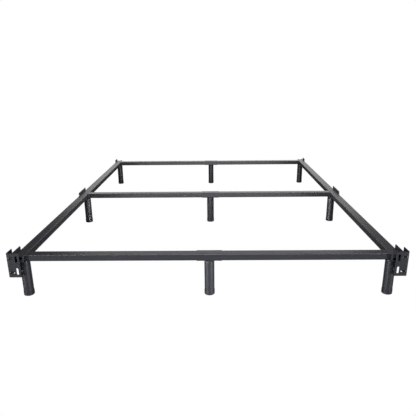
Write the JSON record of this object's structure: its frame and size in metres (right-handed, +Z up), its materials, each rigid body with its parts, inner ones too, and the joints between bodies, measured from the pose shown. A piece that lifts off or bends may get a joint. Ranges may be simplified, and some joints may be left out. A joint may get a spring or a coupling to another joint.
{
  "type": "bed frame",
  "caption": "Low knock-down steel bed frame with split side rails and cross bars, screw-in round legs, mattress retainer plates and slotted headboard brackets.",
  "frame": {"origin": "on the floor below the middle of the whole outline", "axes": "+X to the right seen from the head end, +Y along the rails from the head end to the foot end, +Z up"},
  "size_m": [1.56, 1.95, 0.195],
  "materials": {
    "rail_paint": "satin powder coat with a fine grain",
    "bar_paint": "satin powder coat with a fine grain",
    "sleeve_paint": "satin powder coat with a fine grain",
    "plate_paint": "satin powder coat with a fine grain",
    "leg_paint": "satin powder coat with a fine grain",
    "cap_plastic": "moulded plastic, satin",
    "plug_plastic": "moulded plastic, satin",
    "washer_black_zinc": "black zinc plate",
    "insert_zinc": "zinc plate, slightly dull",
    "fastener_zinc": "zinc plate"
  },
  "bodies": {
    "frame": {"rail_head_left": "rail_paint", "rail_head_right": "rail_paint", "rail_foot_left": "rail_paint", "rail_foot_right": "rail_paint", "splice_left": "insert_zinc", "splice_right": "insert_zinc", "bar_head_left": "bar_paint", "bar_head_right": "bar_paint", "bar_middle_left": "bar_paint", "bar_middle_right": "bar_paint", "bar_foot_left": "bar_paint", "bar_foot_right": "bar_paint", "tongue_head_left": "insert_zinc", "tongue_head_right": "insert_zinc", "tongue_middle_left": "insert_zinc", "tongue_middle_right": "insert_zinc", "tongue_foot_left": "insert_zinc", "tongue_foot_right": "insert_zinc", "sleeve_head": "sleeve_paint", "sleeve_middle": "sleeve_paint", "sleeve_foot": "sleeve_paint", "coupler_head": "insert_zinc", "coupler_middle": "insert_zinc", "coupler_foot": "insert_zinc", "retainer_middle_left": "plate_paint", "retainer_middle_right": "plate_paint", "retainer_foot_left": "plate_paint", "retainer_foot_right": "plate_paint", "bracket_left": "plate_paint", "bracket_right": "plate_paint", "plate_bolts": "fastener_zinc", "plate_nuts": "fastener_zinc", "end_plugs": "plug_plastic"},
    "washer_head_left": {"washer_head_left": "washer_black_zinc"},
    "leg_head_left": {"leg_head_left": "leg_paint", "cap_head_left": "cap_plastic"},
    "washer_head_centre": {"washer_head_centre": "washer_black_zinc"},
    "leg_head_centre": {"leg_head_centre": "leg_paint", "cap_head_centre": "cap_plastic"},
    "washer_head_right": {"washer_head_right": "washer_black_zinc"},
    "leg_head_right": {"leg_head_right": "leg_paint", "cap_head_right": "cap_plastic"},
    "washer_middle_left": {"washer_middle_left": "washer_black_zinc"},
    "leg_middle_left": {"leg_middle_left": "leg_paint", "cap_middle_left": "cap_plastic"},
    "washer_middle_centre": {"washer_middle_centre": "washer_black_zinc"},
    "leg_middle_centre": {"leg_middle_centre": "leg_paint", "cap_middle_centre": "cap_plastic"},
    "washer_middle_right": {"washer_middle_right": "washer_black_zinc"},
    "leg_middle_right": {"leg_middle_right": "leg_paint", "cap_middle_right": "cap_plastic"},
    "washer_foot_left": {"washer_foot_left": "washer_black_zinc"},
    "leg_foot_left": {"leg_foot_left": "leg_paint", "cap_foot_left": "cap_plastic"},
    "washer_foot_centre": {"washer_foot_centre": "washer_black_zinc"},
    "leg_foot_centre": {"leg_foot_centre": "leg_paint", "cap_foot_centre": "cap_plastic"},
    "washer_foot_right": {"washer_foot_right": "washer_black_zinc"},
    "leg_foot_right": {"leg_foot_right": "leg_paint", "cap_foot_right": "cap_plastic"}
  },
  "joints": [
    {"name": "head_left_lower", "type": "slide", "parent": "frame", "child": "washer_head_left", "axis": [0, 0, -1], "range_m": [0, 0.0091]},
    {"name": "head_left_unscrew", "type": "hinge", "parent": "washer_head_left", "child": "leg_head_left", "pos_m": [-0.727, -0.934, 0.1], "axis": [0, 0, -1], "range_deg": [0, 2160]},
    {"name": "head_centre_lower", "type": "slide", "parent": "frame", "child": "washer_head_centre", "axis": [0, 0, -1], "range_m": [0, 0.0091]},
    {"name": "head_centre_unscrew", "type": "hinge", "parent": "washer_head_centre", "child": "leg_head_centre", "pos_m": [0.01, -0.934, 0.1], "axis": [0, 0, -1], "range_deg": [0, 2160]},
    {"name": "head_right_lower", "type": "slide", "parent": "frame", "child": "washer_head_right", "axis": [0, 0, -1], "range_m": [0, 0.0091]},
    {"name": "head_right_unscrew", "type": "hinge", "parent": "washer_head_right", "child": "leg_head_right", "pos_m": [0.727, -0.934, 0.1], "axis": [0, 0, -1], "range_deg": [0, 2160]},
    {"name": "middle_left_lower", "type": "slide", "parent": "frame", "child": "washer_middle_left", "axis": [0, 0, -1], "range_m": [0, 0.0091]},
    {"name": "middle_left_unscrew", "type": "hinge", "parent": "washer_middle_left", "child": "leg_middle_left", "pos_m": [-0.727, -0.028, 0.1], "axis": [0, 0, -1], "range_deg": [0, 2160]},
    {"name": "middle_centre_lower", "type": "slide", "parent": "frame", "child": "washer_middle_centre", "axis": [0, 0, -1], "range_m": [0, 0.0091]},
    {"name": "middle_centre_unscrew", "type": "hinge", "parent": "washer_middle_centre", "child": "leg_middle_centre", "pos_m": [0.01, -0.028, 0.1], "axis": [0, 0, -1], "range_deg": [0, 2160]},
    {"name": "middle_right_lower", "type": "slide", "parent": "frame", "child": "washer_middle_right", "axis": [0, 0, -1], "range_m": [0, 0.0091]},
    {"name": "middle_right_unscrew", "type": "hinge", "parent": "washer_middle_right", "child": "leg_middle_right", "pos_m": [0.727, -0.028, 0.1], "axis": [0, 0, -1], "range_deg": [0, 2160]},
    {"name": "foot_left_lower", "type": "slide", "parent": "frame", "child": "washer_foot_left", "axis": [0, 0, -1], "range_m": [0, 0.0091]},
    {"name": "foot_left_unscrew", "type": "hinge", "parent": "washer_foot_left", "child": "leg_foot_left", "pos_m": [-0.727, 0.93, 0.1], "axis": [0, 0, -1], "range_deg": [0, 2160]},
    {"name": "foot_centre_lower", "type": "slide", "parent": "frame", "child": "washer_foot_centre", "axis": [0, 0, -1], "range_m": [0, 0.0091]},
    {"name": "foot_centre_unscrew", "type": "hinge", "parent": "washer_foot_centre", "child": "leg_foot_centre", "pos_m": [0.01, 0.93, 0.1], "axis": [0, 0, -1], "range_deg": [0, 2160]},
    {"name": "foot_right_lower", "type": "slide", "parent": "frame", "child": "washer_foot_right", "axis": [0, 0, -1], "range_m": [0, 0.0091]},
    {"name": "foot_right_unscrew", "type": "hinge", "parent": "washer_foot_right", "child": "leg_foot_right", "pos_m": [0.727, 0.93, 0.1], "axis": [0, 0, -1], "range_deg": [0, 2160]}
  ],
  "couplings": [
    {"joint": "head_left_lower", "follows": "head_left_unscrew", "m_per_rad": 0.00023873},
    {"joint": "head_centre_lower", "follows": "head_centre_unscrew", "m_per_rad": 0.00023873},
    {"joint": "head_right_lower", "follows": "head_right_unscrew", "m_per_rad": 0.00023873},
    {"joint": "middle_left_lower", "follows": "middle_left_unscrew", "m_per_rad": 0.00023873},
    {"joint": "middle_centre_lower", "follows": "middle_centre_unscrew", "m_per_rad": 0.00023873},
    {"joint": "middle_right_lower", "follows": "middle_right_unscrew", "m_per_rad": 0.00023873},
    {"joint": "foot_left_lower", "follows": "foot_left_unscrew", "m_per_rad": 0.00023873},
    {"joint": "foot_centre_lower", "follows": "foot_centre_unscrew", "m_per_rad": 0.00023873},
    {"joint": "foot_right_lower", "follows": "foot_right_unscrew", "m_per_rad": 0.00023873}
  ]
}
